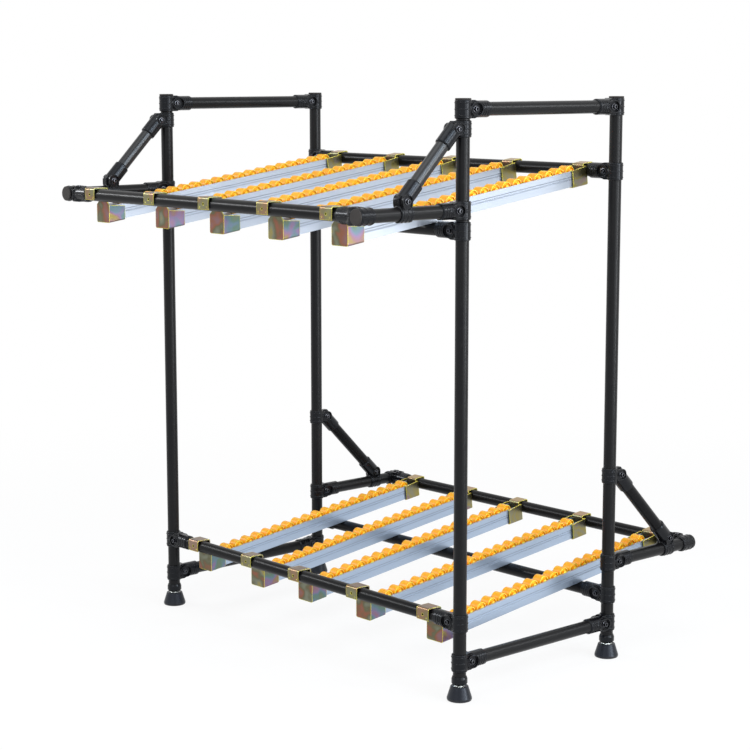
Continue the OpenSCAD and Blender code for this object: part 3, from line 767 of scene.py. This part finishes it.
# %% Socket head screws
shank = 2.9
washer = 6.8
head = 4.95
key_flats = 5.2
screw = stack(
    plain([-19.0], [2.3]),
    thread(-18.9, -16.9, radius=3.0, pitch=1.0),
    plain([-16.8, 12.9], [shank, shank]),
    plain([13.0, 13.2, 13.9, 14.1], [washer - 0.4, washer, washer, washer - 0.4]),
    knurl([14.1, 14.5, 18.2], [head - 0.35, head, head], depth=0.16),
    plain([18.8, 19.0], [4.75, 4.4]),
    hexagon([19.0, 18.8, 15.8], key_flats, [3.1, 2.9, 2.9]),
    plain([15.4], [0.4]),
)
screws = np.stack([placed(screw, at, way, face) for at, way, face in joints()])
screwed = piece("joint_screws", screws, "dark_zinc")
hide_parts("joint_bolts")
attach(screwed, "rack")

# %% [markdown]
# ## Surroundings
#
# The world is plain white to the camera and to mirrors, and a middling grey as a light. The
# Light Path node tells which ray is asking, so the white behind the rack costs it no contrast:
# more light would have washed the black tubes out.


# %% Sight of the background
class Backdrop(Finish):
    """The world's or the floor's node tree, which looks different to the camera."""

    def __init__(self, tree):
        self.tree = tree

    def seen(self):
        """1 for rays from the camera, mirrors and glass."""
        path = self.tree.nodes.new("ShaderNodeLightPath")
        kinds = ("Is Camera Ray", "Is Glossy Ray", "Is Transmission Ray")
        camera_ray, mirror_ray, glass_ray = [Value(self, path.outputs[kind]) for kind in kinds]
        direct = camera_ray.math("MAXIMUM", camera_ray, mirror_ray)
        return direct.math("MAXIMUM", direct, glass_ray)


world_light = (0.36, 0.37, 0.39)
white = (1.0, 1.0, 1.0)
world = bpy.data.worlds.new("white_room")
bpy.context.scene.world = world
world.use_nodes = True
room = Backdrop(world.node_tree)
background = world.node_tree.nodes["Background"]
room.feed(background.inputs["Color"], room.mix(room.seen(), world_light, white))
background.inputs["Strength"].default_value = 1.0
print("the world lights with", world_light)

# %% [markdown]
# ## Lamps
#
# A black coated tube shows mostly what it mirrors, so the lamps are chosen by their reflections,
# and each is a soft box of the shape that its reflection should have. A long low strip on the
# left draws the thin line along the beams. A tall window on the right, with a wider and dimmer
# one beside it, gives the posts their soft band, and a small one does the same for the bars.
# Three cool windows in a slanting row lie where the braces mirror them. A fill in front and a
# wide sky overhead light the decks and lay the shadow on the floor.

# %% Lamps
rack_middle = np.array([0.2, -0.1, 0.95])
lamp_distance = 4.4


def lamp(name, turn, rise, width, height, power, colour=white):
    """A soft box so many degrees round from +X and up, facing the rack's middle."""
    turn, rise = math.radians(turn), math.radians(rise)
    flat = math.cos(rise)
    data = bpy.data.lights.new(name, "AREA")
    data.shape = "RECTANGLE"
    data.size = width
    data.size_y = height
    data.energy = power
    data.color = colour
    box = bpy.data.objects.new(name, data)
    bpy.context.scene.collection.objects.link(box)
    way = np.array([flat * math.cos(turn), flat * math.sin(turn), math.sin(rise)])
    box.location = rack_middle + lamp_distance * way
    box.rotation_euler = (math.pi / 2 - rise, 0.0, turn + math.pi / 2)
    print(name, power, "W")


cool = (0.80, 0.90, 1.0)
lamp("beam_strip", -145, 18, 2.2, 0.22, 60)
lamp("post_window", 20, 0, 0.9, 2.8, 88)
lamp("post_fill", -5, 0, 1.8, 2.8, 38)
lamp("bar_window", 44, 22, 1.1, 0.9, 24)
lamp("brace_window_low", 13, 16, 0.75, 0.75, 20, cool)
lamp("brace_window", 0, 29, 0.85, 0.85, 58, cool)
lamp("brace_window_high", -14, 42, 0.75, 0.75, 20, cool)
lamp("front_fill", -75, 28, 2.2, 1.6, 45)
lamp("sky", -90, 84, 3.0, 3.0, 50)

# %% [markdown]
# ## Floor
#
# The floor takes the rack's shadow but is white to the camera: near the rack it mixes a little
# real shading with a plain glow, and further out only the glow is left, so that no horizon
# shows. It lies just below the feet, clear of their soles.

# %% Floor
shaded_radius = 1.0
glowing_radius = 3.0
glow_near_rack = 0.88
floor_half = 12.0
floor_height = -0.5 * mm


def floor_finish():
    look = Finish("pale_floor", Base_Color=(0.95, 0.95, 0.95, 1.0), Roughness=0.9)
    sight = Backdrop(look.tree)
    on_floor = look.vector("MULTIPLY", look.place, (1, 1, 0))
    distance = look.vector("LENGTH", on_floor, out="Value")
    glow = look.tree.nodes.new("ShaderNodeEmission")
    glow.inputs["Color"].default_value = (*white, 1.0)
    share = look.between(distance, shaded_radius, glowing_radius, glow_near_rack, 1.0)
    blend = look.tree.nodes.new("ShaderNodeMixShader")
    look.feed(blend.inputs[0], sight.seen() * share)
    look.tree.links.new(look.shader.outputs[0], blend.inputs[1])
    look.tree.links.new(glow.outputs[0], blend.inputs[2])
    look.tree.links.new(blend.outputs[0], look.tree.nodes["Material Output"].inputs["Surface"])
    return look.material


mesh = bpy.data.meshes.new("floor")
signs = ((-1, -1), (1, -1), (1, 1), (-1, 1))
square = [(x * floor_half, y * floor_half, floor_height) for x, y in signs]
mesh.from_pydata(square, [], [(0, 1, 2, 3)])
mesh.materials.append(floor_finish())
floor = bpy.data.objects.new("floor", mesh)
bpy.context.scene.collection.objects.link(floor)
print("floor laid", abs(floor_height) / mm, "mm below the feet")

# %% [markdown]
# ## Camera
#
# A long lens from some way off keeps the posts nearly parallel. The camera stands to the right
# in front of the rack, a little above the middle of its height, and looks slightly down.

# %% Camera
looks_down = 8.83
roll = 0.02
heading = 48.09
camera_data = bpy.data.cameras.new("camera")
camera_data.lens = 93.63
camera_data.sensor_width = 36.0
camera = bpy.data.objects.new("camera", camera_data)
bpy.context.scene.collection.objects.link(camera)
camera.location = (3.3125, -2.9894, 1.2995)
camera.rotation_euler = [math.radians(angle) for angle in (90 - looks_down, roll, heading)]
bpy.context.scene.camera = camera
bpy.context.scene.view_settings.view_transform = "Standard"
print("camera", camera_data.lens, "mm lens at", tuple(camera.location))
